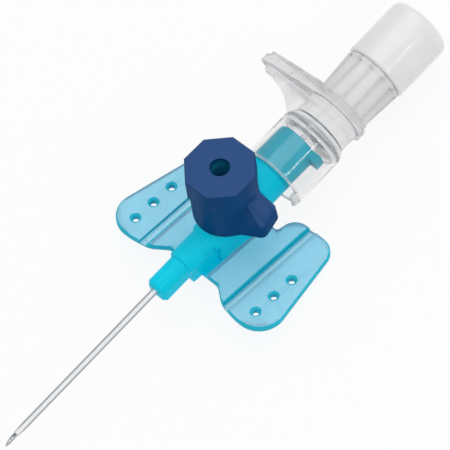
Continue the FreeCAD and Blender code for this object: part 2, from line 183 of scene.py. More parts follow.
@dataclass(frozen=True)
class MouldedPlastic:
    """A moulded polymer: its colour, how much light it lets through and the grain of its tool.

    The tool's fine spark grain gives a soft, slightly broken sheen, and slow unevenness of the
    wall gives the colour and the gloss a gentle drift from place to place. Inside the wall red,
    green and blue light spread equally far, so that no edge glows red as skin does.
    """

    name: str
    colour: str
    drift_colour: str
    roughness: float
    ior: float = 1.5
    specular: float = 0.5
    transmission: float = 0.0
    depth_colour: str | None = None
    depth_mm: float = 1.0
    roughness_drift: float = 0.05
    drift_mm: float = 3.0
    gloss_drift_mm: float = 2.1
    grain_mm: float = 0.3
    grain_depth_mm: float = 0.003
    subsurface: float = 0.0
    subsurface_mm: float = 1.0
    spread: tuple[float, float, float] = (1.0, 1.0, 1.0)
    lamp_light: float = 0.0

    def build(self) -> bpy.types.Material:
        """Make the material.

        Returns:
            The finished material.
        """
        material, tree = blank_material(self.name)
        place = add_node(tree, "ShaderNodeTexCoord").outputs["Object"]
        links: dict[str | int, Source] = {
            "Base Color": self.base_colour(tree, place),
            "Roughness": self.gloss(tree, place),
            "Normal": self.grain(tree, place),
        }
        settings: dict[str | int, object] = {
            "IOR": self.ior,
            "Specular IOR Level": self.specular,
            "Subsurface Weight": self.subsurface,
            "Subsurface Scale": self.subsurface_mm * MM,
            "Subsurface Radius": self.spread,
            "Transmission Weight": self.transmission,
        }
        clearness = self.clearness(tree, place)
        if clearness is not None:
            links["Transmission Weight"] = clearness
        surface = add_node(tree, "ShaderNodeBsdfPrincipled", settings, links)
        if self.lamp_light > 0:
            surface = let_lamps_through(tree, surface, self.depth_colour or self.colour, self.lamp_light)
        output = add_node(tree, "ShaderNodeOutputMaterial", {}, {"Surface": surface})
        if self.depth_colour is not None:
            density = 1 / (self.depth_mm * MM)
            depth = add_node(
                tree, "ShaderNodeVolumeAbsorption", {"Color": linear(self.depth_colour), "Density": density}
            )
            tree.links.new(depth.outputs["Volume"], output.inputs["Volume"])
        return material

    def base_colour(self, tree: Tree, place: Socket) -> Source:
        """Let the colour drift slowly between two near tones, and lay the local tones over it.

        Args:
            tree: the material's node tree.
            place: the place on the piece.

        Returns:
            What gives the colour.
        """
        cloud = {"Scale": 1 / (self.drift_mm * MM), "Detail": 2.0}
        drift = add_node(tree, "ShaderNodeTexNoise", cloud, {"Vector": place})
        low, high = NOISE_CORE
        share = add_node(tree, "ShaderNodeMapRange", {"From Min": low, "From Max": high}, {"Value": drift})
        both = {"data_type": "RGBA", 6: linear(self.colour), 7: linear(self.drift_colour)}
        colour = add_node(tree, "ShaderNodeMix", both, {0: share}).outputs[2]
        for tone, share in self.tones(tree, place):
            over = {"data_type": "RGBA", 7: linear(tone)}
            colour = add_node(tree, "ShaderNodeMix", over, {0: share, 6: colour}).outputs[2]
        return colour

    def tones(self, tree: Tree, place: Socket) -> list[tuple[str, Source]]:
        """Return the tones that lie over the colour in places, each with its share."""
        return []

    def gloss(self, tree: Tree, place: Socket) -> Source:
        """Let the roughness drift slowly about its middle value.

        Args:
            tree: the material's node tree.
            place: the place on the piece.

        Returns:
            What gives the roughness.
        """
        cloud = {"Scale": 1 / (self.gloss_drift_mm * MM), "Detail": 2.0}
        drift = add_node(tree, "ShaderNodeTexNoise", cloud, {"Vector": place})
        low, high = NOISE_WIDE
        span = {
            "From Min": low,
            "From Max": high,
            "To Min": self.roughness - self.roughness_drift,
            "To Max": self.roughness + self.roughness_drift,
        }
        return add_node(tree, "ShaderNodeMapRange", span, {"Value": drift})

    def grain(self, tree: Tree, place: Socket) -> Source:
        """Bend the normal by the tool's spark grain.

        Args:
            tree: the material's node tree.
            place: the place on the piece.

        Returns:
            What gives the normal.
        """
        fine = {"Scale": 1 / (self.grain_mm * MM), "Detail": 1.0}
        height = add_node(tree, "ShaderNodeTexNoise", fine, {"Vector": place})
        return add_node(tree, "ShaderNodeBump", {"Distance": self.grain_depth_mm * MM}, {"Height": height})

    def clearness(self, tree: Tree, place: Socket) -> Source | None:
        """Return the transmission's mask, or none where it is the same all over."""
        return None


@dataclass(frozen=True)
class Fold:
    """A fold's wall along the wings, which shows as a line."""

    side_mm: float
    half_mm: float
    strength: float


@dataclass(frozen=True)
class WingPlane:
    """The wings' middle plane, which drops towards the rear."""

    angle_deg: float = 10.1
    centre_mm: tuple[float, float, float] = (9.55, 0.0, -4.0)

    def normal(self) -> Vector:
        """Return the direction square to the wings."""
        turn = math.radians(self.angle_deg)
        return Vector((math.sin(turn), 0.0, math.cos(turn)))

    def height(self, tree: Tree, place: Socket) -> bpy.types.Node:
        """Measure the height above the plane.

        Args:
            tree: the material's node tree.
            place: the place on the piece.

        Returns:
            The node that gives the height in metres.
        """
        square = {"operation": "DOT_PRODUCT", 1: tuple(self.normal())}
        along = add_node(tree, "ShaderNodeVectorMath", square, {0: place}).outputs["Value"]
        base = self.normal().dot(Vector(self.centre_mm)) * MM
        return add_node(tree, "ShaderNodeMath", {"operation": "SUBTRACT", 1: base}, {0: along})

    def facing(self, tree: Tree) -> bpy.types.Node:
        """Compare each face with the plane.

        Args:
            tree: the material's node tree.

        Returns:
            The node that gives 1 on faces that lie in the plane and 0 on those that stand on it.
        """
        normal = add_node(tree, "ShaderNodeTexCoord").outputs["Normal"]
        square = {"operation": "DOT_PRODUCT", 1: tuple(self.normal())}
        turned = add_node(tree, "ShaderNodeVectorMath", square, {0: normal}).outputs["Value"]
        return add_node(tree, "ShaderNodeMath", {"operation": "ABSOLUTE"}, {0: turned})


@dataclass(frozen=True, kw_only=True)
class HubPolymer(MouldedPlastic):
    """The hub's tinted polymer, pale in the thin wings, deeper at their rims and full in the thick tube."""

    thin_colour: str = "#D8F8FF"
    rim_colour: str = "#22C2DA"
    barrel_colour: str = "#00B6CE"
    thin_clearness: float = 0.74
    rim_clearness: float = 0.1
    rim_turn: Span = (0.88, 0.96)
    fold_core: float = 0.4
    barrel_from_mm: Span
    plane: WingPlane
    thin_height_mm: Span
    thin_half_mm: Span
    folds: tuple[Fold, ...]

    def side_distance(self, tree: Tree, place: Socket) -> bpy.types.Node:
        """Return the distance to the hub's middle plane, in metres."""
        side = add_node(tree, "ShaderNodeSeparateXYZ", {}, {0: place}).outputs["Y"]
        return add_node(tree, "ShaderNodeMath", {"operation": "ABSOLUTE"}, {0: side})

    def thin_share(self, tree: Tree, place: Socket) -> bpy.types.Node:
        """Find the wings.

        Args:
            tree: the material's node tree.
            place: the place on the piece.

        Returns:
            The node that gives 1 in the wings and 0 in the tube and its keel.
        """
        low, high = (value * MM for value in self.thin_height_mm)
        span = {"From Min": low, "From Max": high, "To Min": 1.0, "To Max": 0.0}
        flat = add_node(tree, "ShaderNodeMapRange", span, {"Value": self.plane.height(tree, place)})
        low, high = (value * MM for value in self.thin_half_mm)
        span = {"From Min": low, "From Max": high}
        away = add_node(tree, "ShaderNodeMapRange", span, {"Value": self.side_distance(tree, place)})
        return add_node(tree, "ShaderNodeMath", {"operation": "MULTIPLY"}, {0: flat, 1: away})

    def rim_share(self, tree: Tree, place: Socket) -> bpy.types.Node:
        """Find the wings' edges, hole rims and fold walls, where light travels far inside.

        Args:
            tree: the material's node tree.
            place: the place on the piece.

        Returns:
            The node that gives 1 there and 0 elsewhere.
        """
        low, high = self.rim_turn
        span = {"From Min": low, "From Max": high, "To Min": 1.0, "To Max": 0.0}
        share = add_node(tree, "ShaderNodeMapRange", span, {"Value": self.plane.facing(tree)})
        for fold in self.folds:
            wall = {"operation": "SUBTRACT", 1: fold.side_mm * MM}
            offset = add_node(tree, "ShaderNodeMath", wall, {0: self.side_distance(tree, place)})
            away = add_node(tree, "ShaderNodeMath", {"operation": "ABSOLUTE"}, {0: offset})
            low, high = fold.half_mm * self.fold_core * MM, fold.half_mm * MM
            span = {"From Min": low, "From Max": high, "To Min": fold.strength, "To Max": 0.0}
            line = add_node(tree, "ShaderNodeMapRange", span, {"Value": away})
            share = add_node(tree, "ShaderNodeMath", {"operation": "MAXIMUM"}, {0: share, 1: line})
        both: dict[str | int, Source] = {0: share, 1: self.thin_share(tree, place)}
        return add_node(tree, "ShaderNodeMath", {"operation": "MULTIPLY"}, both)

    def tones(self, tree: Tree, place: Socket) -> list[tuple[str, Source]]:
        """Lay the barrel's deeper tone, the wings' pale one and the rims' teal over the tube's tone.

        Args:
            tree: the material's node tree.
            place: the place on the piece.

        Returns:
            Each tone with its share.
        """
        low, high = (value * MM for value in self.barrel_from_mm)
        along = add_node(tree, "ShaderNodeSeparateXYZ", {}, {0: place})
        barrel = add_node(tree, "ShaderNodeMapRange", {"From Min": low, "From Max": high}, {"Value": along})
        return [
            (self.barrel_colour, barrel),
            (self.thin_colour, self.thin_share(tree, place)),
            (self.rim_colour, self.rim_share(tree, place)),
        ]

    def clearness(self, tree: Tree, place: Socket) -> Source:
        """Make the wings clearest and shut their rims nearly.

        Args:
            tree: the material's node tree.
            place: the place on the piece.

        Returns:
            The node that gives the transmission.
        """
        span = {"To Min": self.transmission, "To Max": self.thin_clearness}
        thin = add_node(tree, "ShaderNodeMapRange", span, {"Value": self.thin_share(tree, place)})
        span = {"To Min": 1.0, "To Max": self.rim_clearness / self.thin_clearness}
        kept = add_node(tree, "ShaderNodeMapRange", span, {"Value": self.rim_share(tree, place)})
        return add_node(tree, "ShaderNodeMath", {"operation": "MULTIPLY"}, {0: thin, 1: kept})


@dataclass(frozen=True, kw_only=True)
class CapPolymer(MouldedPlastic):
    """The cap's pigmented polymer, with a paler painted sheen on the faces that look up its axis and
    painted light in its recess.
    """

    # The paler tone is a painted sheen on the faces that look up the cap's axis.
    painted_sheen_colour: str = "#315285"
    # The recess tone is painted light in a deep hole that the lamps hardly reach.
    painted_recess_light_colour: str = "#2396B8"
    painted_sheen_turn: Span = (0.3, 0.55)
    axis: tuple[float, float, float]
    axis_foot_mm: tuple[float, float, float]
    recess_r_mm: Span
    recess_height_mm: Span

    def tones(self, tree: Tree, place: Socket) -> list[tuple[str, Source]]:
        """Lay a painted sheen on the faces that look up the cap's axis, and painted light in the recess,
        over the full tone of the sides.

        Args:
            tree: the material's node tree.
            place: the place on the piece.

        Returns:
            Each tone with its share.
        """
        normal = add_node(tree, "ShaderNodeTexCoord").outputs["Normal"]
        upwards = {"operation": "DOT_PRODUCT", 1: self.axis}
        facing = add_node(tree, "ShaderNodeVectorMath", upwards, {0: normal}).outputs["Value"]
        low, high = self.painted_sheen_turn
        top = add_node(tree, "ShaderNodeMapRange", {"From Min": low, "From Max": high}, {"Value": facing})
        return [(self.painted_sheen_colour, top), (self.painted_recess_light_colour, self.recess_share(tree, place))]

    def recess_share(self, tree: Tree, place: Socket) -> Source:
        """Find the recess, by the distance to the cap's axis and the height along it.

        Args:
            tree: the material's node tree.
            place: the place on the piece.

        Returns:
            What gives 1 deep inside the recess and 0 outside it.
        """
        foot = {"operation": "SUBTRACT", 1: tuple(value * MM for value in self.axis_foot_mm)}
        offset = add_node(tree, "ShaderNodeVectorMath", foot, {0: place})
        crossing = {"operation": "CROSS_PRODUCT", 1: self.axis}
        across = add_node(tree, "ShaderNodeVectorMath", crossing, {0: offset})
        radius = add_node(tree, "ShaderNodeVectorMath", {"operation": "LENGTH"}, {0: across})
        upwards = {"operation": "DOT_PRODUCT", 1: self.axis}
        height = add_node(tree, "ShaderNodeVectorMath", upwards, {0: offset})
        inside = []
        for measure, (low, high) in ((radius, self.recess_r_mm), (height, self.recess_height_mm)):
            span = {"From Min": low * MM, "From Max": high * MM, "To Min": 1.0, "To Max": 0.0}
            inside.append(add_node(tree, "ShaderNodeMapRange", span, {"Value": measure.outputs["Value"]}))
        return add_node(tree, "ShaderNodeMath", {"operation": "MULTIPLY"}, dict(enumerate(inside)))


@dataclass(frozen=True, kw_only=True)
class ClearPolymer(MouldedPlastic):
    """Clear polymer, polished at the front and left with a spark-eroded haze on the grip and the web."""

    flute_colour: str = "#E4E5E6"
    flute_wave: Span = (-0.1, -0.95)
    speck_colour: str = "#B4B5B6"
    speck_mm: float = 0.3
    speck_range: Span = (0.48, 0.66)
    speck_strength: float = 0.42
    tongue_haze: float = 0.7
    neck_haze: float = 0.4
    web_haze: float = 0.6
    haze_clearness: float = 0.35
    haze_roughness: float = 0.4
    tongue_from_mm: Span
    neck_from_mm: Span
    grip_from_mm: Span
    web_from_mm: Span
    flutes: int
    side_mm: float
    wall_r_mm: Span

    def haze_share(self, tree: Tree, place: Socket) -> Source:
        """Find the hazy parts: the grip, the tongue, the neck and the web.

        Args:
            tree: the material's node tree.
            place: the place on the piece.

        Returns:
            What gives 1 on the grip, less on the others and 0 on the shroud.
        """
        parts = add_node(tree, "ShaderNodeSeparateXYZ", {}, {0: place})
        zones = []
        for axis, (low, high), haze in (
            ("X", self.tongue_from_mm, self.tongue_haze),
            ("X", self.neck_from_mm, self.neck_haze),
            ("X", self.grip_from_mm, 1.0),
            ("Y", self.web_from_mm, self.web_haze),
        ):
            span = {"From Min": low * MM, "From Max": high * MM, "To Max": haze}
            zones.append(add_node(tree, "ShaderNodeMapRange", span, {"Value": parts.outputs[axis]}))
        share = zones[0]
        for zone in zones[1:]:
            share = add_node(tree, "ShaderNodeMath", {"operation": "MAXIMUM"}, {0: share, 1: zone})
        return share

    def speck_share(self, tree: Tree, place: Socket) -> bpy.types.Node:
        """Strew the specks that spark erosion leaves on the web and the thumb plate.

        Args:
            tree: the material's node tree.
            place: the place on the piece.

        Returns:
            The node that gives their share.
        """
        cloud = {"Scale": 1 / (self.speck_mm * MM), "Detail": 3.0}
        specks = add_node(tree, "ShaderNodeTexNoise", cloud, {"Vector": place})
        low, high = self.speck_range
        span = {"From Min": low, "From Max": high, "To Max": self.speck_strength}
        share = add_node(tree, "ShaderNodeMapRange", span, {"Value": specks})
        side = add_node(tree, "ShaderNodeSeparateXYZ", {}, {0: place}).outputs["Y"]
        low, high = (value * MM for value in self.web_from_mm)
        web = add_node(tree, "ShaderNodeMapRange", {"From Min": low, "From Max": high}, {"Value": side})
        return add_node(tree, "ShaderNodeMath", {"operation": "MULTIPLY"}, {0: share, 1: web})

    def flute_share(self, tree: Tree, place: Socket) -> Source:
        """Find the grip's flutes, by the angle round the grip's axis.

        Args:
            tree: the material's node tree.
            place: the place on the piece.

        Returns:
            What gives 1 along the middle of each flute and 0 on the ridges between them.
        """
        foot = {"operation": "SUBTRACT", 1: (0.0, self.side_mm * MM, 0.0)}
        offset = add_node(tree, "ShaderNodeVectorMath", foot, {0: place})
        flatten = {"operation": "MULTIPLY", 1: (0.0, 1.0, 1.0)}
        across = add_node(tree, "ShaderNodeVectorMath", flatten, {0: offset})
        radius = add_node(tree, "ShaderNodeVectorMath", {"operation": "LENGTH"}, {0: across})
        parts = add_node(tree, "ShaderNodeSeparateXYZ", {}, {0: offset})
        sides: dict[str | int, Source] = {0: parts.outputs["Z"], 1: parts.outputs["Y"]}
        turn = add_node(tree, "ShaderNodeMath", {"operation": "ARCTAN2"}, sides)
        repeat = {"operation": "MULTIPLY", 1: float(self.flutes)}
        turns = add_node(tree, "ShaderNodeMath", repeat, {0: turn})
        share: Source = add_node(tree, "ShaderNodeMath", {"operation": "COSINE"}, {0: turns})
        low, high = self.flute_wave
        share = add_node(tree, "ShaderNodeMapRange", {"From Min": low, "From Max": high}, {"Value": share})
        for measure, (low, high) in (
            (radius.outputs["Value"], self.wall_r_mm),
            (parts.outputs["X"], self.grip_from_mm),
        ):
            span = {"From Min": low * MM, "From Max": high * MM}
            zone = add_node(tree, "ShaderNodeMapRange", span, {"Value": measure})
            share = add_node(tree, "ShaderNodeMath", {"operation": "MULTIPLY"}, {0: share, 1: zone})
        return share

    def tones(self, tree: Tree, place: Socket) -> list[tuple[str, Source]]:
        """Return the greys of the flutes, where less light gathers, and of the web's specks."""
        flutes, specks = self.flute_share(tree, place), self.speck_share(tree, place)
        return [(self.flute_colour, flutes), (self.speck_colour, specks)]

    def gloss(self, tree: Tree, place: Socket) -> Source:
        """Return the roughness, higher where the tool was left spark-eroded."""
        links: dict[str | int, Source] = {0: self.haze_share(tree, place), 2: super().gloss(tree, place)}
        return add_node(tree, "ShaderNodeMix", {"data_type": "FLOAT", 3: self.haze_roughness}, links)

    def clearness(self, tree: Tree, place: Socket) -> Source:
        """Return the transmission's mask."""
        span = {"To Min": self.transmission, "To Max": self.haze_clearness}
        return add_node(tree, "ShaderNodeMapRange", span, {"Value": self.haze_share(tree, place)})


@dataclass(frozen=True, kw_only=True)
class ShadeStripedPolymer(MouldedPlastic):
    """Extruded tube polymer, pale, with lengthwise grey stripes of painted shade along the tube's sides."""

    # The stripes are painted shade: two lie along the tube's sides as the camera sees them, and the third
    # keeps their spacing behind it.
    painted_shade_colour: str = "#ABAEB1"
    shade_stripe_turns_deg: tuple[float, ...] = (31.0, -89.0, 151.0)
    shade_stripe_half_deg: Span = (24.0, 38.0)
    outer_r_mm: float

    def tones(self, tree: Tree, place: Socket) -> list[tuple[str, Source]]:
        """Lay the grey of the painted shade over the wall's tone, at the stripes' angles round the tube.

        Args:
            tree: the material's node tree.
            place: the place on the piece.

        Returns:
            The grey with the share of each stripe.
        """
        high, low = (self.outer_r_mm * math.cos(math.radians(half)) * MM for half in self.shade_stripe_half_deg)
        found = []
        for turn in map(math.radians, self.shade_stripe_turns_deg):
            towards = {"operation": "DOT_PRODUCT", 1: (0.0, math.sin(turn), math.cos(turn))}
            reach = add_node(tree, "ShaderNodeVectorMath", towards, {0: place}).outputs["Value"]
            span = {"From Min": low, "From Max": high}
            found.append((self.painted_shade_colour, add_node(tree, "ShaderNodeMapRange", span, {"Value": reach})))
        return found


@dataclass(frozen=True)
class DrawnSteel:
    """Stainless steel drawn to a fine tube: bright, with faint lines along its length."""

    name: str
    colour: str = "#C4C7CB"
    roughness: float = 0.26
    roughness_drift: float = 0.04
    line_mm: float = 0.08
    line_length_mm: float = 6.0

    def build(self) -> bpy.types.Material:
        """Make the material.

        Returns:
            The finished material.
        """
        material, tree = blank_material(self.name)
        place = add_node(tree, "ShaderNodeTexCoord").outputs["Object"]
        stretch = {"Scale": (self.line_mm / self.line_length_mm, 1.0, 1.0)}
        along = add_node(tree, "ShaderNodeMapping", stretch, {"Vector": place})
        lines = add_node(tree, "ShaderNodeTexNoise", {"Scale": 1 / (self.line_mm * MM)}, {"Vector": along})
        low, high = NOISE_WIDE
        span = {
            "From Min": low,
            "From Max": high,
            "To Min": self.roughness - self.roughness_drift,
            "To Max": self.roughness + self.roughness_drift,
        }
        rough = add_node(tree, "ShaderNodeMapRange", span, {"Value": lines})
        metal = {"Base Color": linear(self.colour), "Metallic": 1.0}
        shader = add_node(tree, "ShaderNodeBsdfPrincipled", metal, {"Roughness": rough})
        add_node(tree, "ShaderNodeOutputMaterial", {}, {"Surface": shader})
        return material


# Low-density polyethylene, moulded: white, waxy and slightly see-through.
PLUG = MouldedPlastic(
    "polyethylene_white_moulded",
    "#ECECEC",
    "#E8E8E9",
    roughness=0.22,
    subsurface=0.35,
    subsurface_mm=0.6,
    grain_depth_mm=0.002,
)
# Silicone rubber, moulded: soft and cloudy, with a matt skin.
SLEEVE = MouldedPlastic(
    "silicone_moulded", "#DDE4E6", "#D5DDE0", roughness=0.35, ior=1.41, transmission=0.6, lamp_light=0.6
)
# Sintered polyethylene: coarse open grain, so it looks chalky.
FILTER = MouldedPlastic(
    "polyethylene_sintered", "#EDEDEB", "#E2E2DF", roughness=0.9, grain_mm=0.2, grain_depth_mm=0.05
)
# Stainless steel, drawn through a die: bright along its length, with no grain across it.
STEEL = DrawnSteel("stainless_steel_drawn")

# Corners closer than this are one corner, and large faces decide the normals along their edges.
WELD_MM = 0.001
LARGE_FACE_WEIGHT = 100


def dress(node: str, material: bpy.types.Material, crease_deg: float = 50.0) -> None:
    """Give a carried-over CAD node its finish, and let its small bevels read as rounded edges.

    Args:
        node: the CAD node's name.
        material: the finish.
        crease_deg: faces that meet at a sharper angle keep a hard edge.
    """
    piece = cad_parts[node]
    piece.data.materials.clear()
    piece.data.materials.append(material)
    piece.data.polygons.foreach_set("use_smooth", [True] * len(piece.data.polygons))
    weld = piece.modifiers.new("weld", "WELD")
    weld.merge_threshold = WELD_MM * MM
    split = piece.modifiers.new("creases", "EDGE_SPLIT")
    split.split_angle = math.radians(crease_deg)
    even = piece.modifiers.new("flat_faces", "WEIGHTED_NORMAL")
    even.weight = LARGE_FACE_WEIGHT
    log.info("%s: %s, %d faces", node, material.name, len(piece.data.polygons))


def rounded_profile(corners: list[tuple[float, float, float]], steps: int = 6) -> list[tuple[float, float]]:
    """Round the corners of a closed outline.

    Args:
        corners: places along the axis, radii, and the rounding of each corner.
        steps: number of short runs in each rounded corner.

    Returns:
        Places along the axis and radii, in millimetres.
    """
    points = []
    for index, (place, radius, rounding) in enumerate(corners):
        corner = Vector((place, radius))
        if rounding == 0.0:
            points.append((place, radius))
            continue
        back = (Vector(corners[index - 1][:2]) - corner).normalized()
        ahead = (Vector(corners[(index + 1) % len(corners)][:2]) - corner).normalized()
        half = back.angle(ahead) / 2
        centre = corner + (back + ahead).normalized() * rounding / math.sin(half)
        start = corner + back * rounding / math.tan(half) - centre
        finish = corner + ahead * rounding / math.tan(half) - centre
        sweep = start.angle_signed(finish)
        for step in range(steps + 1):
            turned = Matrix.Rotation(-sweep * step / steps, 2) @ start + centre
            points.append((turned.x, turned.y))
    return points


def ring_faces(rings: int, segments: int) -> list[tuple[int, ...]]:
    """Join each ring of corners to the next one, and the last to the first.

    Args:
        rings: number of rings.
        segments: number of corners in each.

    Returns:
        Corner numbers of each face.
    """
    faces = []
    for ring in range(rings):
        after = (ring + 1) % rings
        for index in range(segments):
            following = (index + 1) % segments
            corners = [(ring, index), (ring, following), (after, following), (after, index)]
            faces.append(tuple(row * segments + at for row, at in corners))
    return faces


def turned_piece(
    name: str, profile: list[tuple[float, float]], side_mm: float, segments: int = 96
) -> bpy.types.Object:
    """Turn a closed outline about a line along the needle.

    Args:
        name: the new piece's name.
        profile: places along the axis and radii.
        side_mm: the axis's place to the left of the needle's own.
        segments: number of faces round the piece.

    Returns:
        The new piece, smooth between its creases.
    """
    points = []
    for place, radius in profile:
        for index in range(segments):
            angle = 2 * math.pi * index / segments
            side, height = side_mm + radius * math.cos(angle), radius * math.sin(angle)
            points.append(Vector((place, side, height)) * MM)
    return add_piece(name, points, ring_faces(len(profile), segments))


def add_piece(
    name: str, points: list[Vector], faces: list[tuple[int, ...]], crease_deg: float = 28.0
) -> bpy.types.Object:
    """Make a mesh piece whose normals point outwards.

    Args:
        name: the new piece's name.
        points: corners in metres.
        faces: corner numbers of each face.
        crease_deg: faces that meet at a sharper angle keep a hard edge.

    Returns:
        The new piece.
    """
    mesh = bpy.data.meshes.new(name)
    mesh.from_pydata(points, [], faces)
    shape = bmesh.new()
    shape.from_mesh(mesh)
    bmesh.ops.recalc_face_normals(shape, faces=shape.faces)
    shape.to_mesh(mesh)
    shape.free()
    mesh.polygons.foreach_set("use_smooth", [True] * len(mesh.polygons))
    mesh.set_sharp_from_angle(angle=math.radians(crease_deg))
    piece = bpy.data.objects.new(name, mesh)
    bpy.context.scene.collection.objects.link(piece)
    return piece


def stand_in(
    piece: bpy.types.Object, node: str, body: Body, material: bpy.types.Material
) -> None:
    """Put a finished piece in the place of the CAD node that it redraws.

    Args:
        piece: the new piece.
        node: the CAD node that it replaces.
        body: the body that carries it.
        material: its finish.
    """
    piece.data.materials.append(material)
    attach(piece, body.value)
    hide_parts(node)
    log.info("%s: %s, %d faces", piece.name, material.name, len(piece.data.polygons))


def extent(node: str) -> tuple[Vector, Vector]:
    """Return a CAD node's lowest and highest corners in millimetres."""
    low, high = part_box(node)
    return low / MM, high / MM


@dataclass
class CatheterHub:
    """Nose, stepped tube, wings, port and luer barrel in one moulding, with the seal inside."""

    barrel_front: Span = (20.3, 20.6)
    wings: WingPlane = WingPlane()
    wing_top: Span = (0.55, 0.75)
    wing_root: Span = (2.1, 2.5)
    folds: tuple[Fold, ...] = (Fold(6.6, 0.32, 1.0), Fold(7.7, 0.22, 0.4))

    def finish(self) -> HubPolymer:
        """Lay the finish out by the moulding's sizes.

        Returns:
            The finish.
        """
        # Translucent polypropylene, moulded: light passes a thin wall and leaves a pale blue, while a
        # thick one scatters it and turns a full cyan.
        return HubPolymer(
            "polypropylene_cyan_moulded",
            "#00DCF7",
            "#00D5F0",
            roughness=0.38,
            ior=1.49,
            specular=0.1,
            transmission=0.04,
            depth_colour="#00E4F8",
            depth_mm=1.0,
            subsurface=0.15,
            subsurface_mm=0.15,
            lamp_light=0.85,
            grain_depth_mm=0.0006,
            barrel_from_mm=self.barrel_front,
            plane=self.wings,
            thin_height_mm=self.wing_top,
            thin_half_mm=self.wing_root,
            folds=self.folds,
        )

    def build(self) -> None:
        """Dress the moulding and the silicone sleeve that lines it."""
        dress("catheter_hub", self.finish().build())
        dress("valve_sleeve", SLEEVE.build())


@dataclass
class Catheter:
    """Thin tube over the needle, drawn down to a rounded tip and flared over a steel ferrule."""

    outer_r: float = 0.45
    bore_r: float = 0.35
    tip_r: float = 0.385
    tip_round: float = 0.03
    taper: float = 1.6
    taper_round: float = 0.8
    flare_front: float = 5.0
    flare_r: float = 1.05
    flare_round: float = 0.4
    segments: int = 64

    def finish(self) -> ShadeStripedPolymer:
        """Lay the finish's stripes of painted shade out on the tube's wall.

        Returns:
            The finish.
        """
        # Fluoropolymer, extruded: a thin milky tube with a slippery gloss.
        return ShadeStripedPolymer(
            "fluoropolymer_extruded",
            "#F3F4F5",
            "#ECEEF0",
            roughness=0.2,
            ior=1.38,
            specular=0.7,
            subsurface=0.2,
            subsurface_mm=0.08,
            roughness_drift=0.02,
            grain_depth_mm=0.0,
            outer_r_mm=self.outer_r,
        )

    def tube(self) -> bpy.types.Object:
        """Turn the tube between the ends of its box in the frame.

        Returns:
            The tube.
        """
        low, high = extent("catheter_tube")
        corners = [
            (low.x, self.bore_r, 0.0),
            (low.x, self.tip_r, self.tip_round),
            (low.x + self.taper, self.outer_r, self.taper_round),
            (self.flare_front, self.outer_r, self.flare_round),
            (high.x, self.flare_r, 0.0),
            (high.x, self.flare_r - (self.outer_r - self.bore_r), 0.0),
            (self.flare_front, self.bore_r, 0.0),
        ]
        return turned_piece("catheter", rounded_profile(corners), 0.0, self.segments)

    def build(self, steel: bpy.types.Material) -> None:
        """Make the tube and dress its ferrule.

        Args:
            steel: the ferrule's finish.
        """
        stand_in(self.tube(), "catheter_tube", Body.CANNULA, self.finish().build())
        dress("catheter_ferrule", steel)


@dataclass
class Needle:
    """Hollow needle whose slanted point has two side grinds, which leave a sharp cutting tip."""

    outer_r: float = 0.30
    bore_r: float = 0.18
    bevel_deg: float = 14.0
    grind_deg: float = 21.0
    grind_turn_deg: float = 22.0
    segments: int = 96

    def front(self, side: float, height: float) -> float:
        """Return how far behind the tip the ground face lies.

        Args:
            side: distance to the left of the axis.
            height: height above the axis.

        Returns:
            The distance along the needle.
        """
        bevel, grind, turn = map(math.radians, (self.bevel_deg, self.grind_deg, self.grind_turn_deg))
        rise = height + self.outer_r
        turned_rise = abs(side) * math.sin(turn) + rise * math.cos(turn)
        return max(rise / math.tan(bevel), turned_rise / math.tan(grind))

    def tube(self) -> bpy.types.Object:
        """Make the ground tube between the ends of its box in the frame.

        Returns:
            The needle.
        """
        low, high = extent("needle_tube")
        rings = [(self.outer_r, True), (self.outer_r, False), (self.bore_r, False), (self.bore_r, True)]
        points = []
        for radius, ground in rings:
            for index in range(self.segments):
                angle = 2 * math.pi * (index + 0.5) / self.segments
                side, height = radius * math.sin(angle), -radius * math.cos(angle)
                place = low.x + self.front(side, height) if ground else high.x
                points.append(Vector((place, side, height)) * MM)
        return add_piece("needle", points, ring_faces(len(rings), self.segments))

    def build(self, steel: bpy.types.Material) -> None:
        """Make the needle.

        Args:
            steel: its finish.
        """
        stand_in(self.tube(), "needle_tube", Body.STYLET, steel)


@dataclass
class PortCap:
    """Octagonal cap with its recess and pull tab."""

    lean_deg: float = 7.1
    axis_x: float = 13.3
    recess_wall: Span = (1.32, 1.4)
    recess_height: Span = (9.2, 10.7)

    def finish(self) -> CapPolymer:
        """Lay the finish out by the cap's sizes.

        Returns:
            The finish.
        """
        lean = math.radians(self.lean_deg)
        # Pigmented polypropylene, moulded: opaque, with the satin sheen of a fine spark grain; its paler
        # tops carry a painted sheen.
        return CapPolymer(
            "polypropylene_dark_blue_moulded",
            "#044479",
            "#043F72",
            roughness=0.45,
            specular=0.05,
            grain_depth_mm=0.006,
            axis=(math.sin(lean), 0.0, math.cos(lean)),
            axis_foot_mm=(self.axis_x, 0.0, 0.0),
            recess_r_mm=self.recess_wall,
            recess_height_mm=self.recess_height,
        )

    def build(self) -> None:
        """Dress the cap."""
        dress("port_cap", self.finish().build())


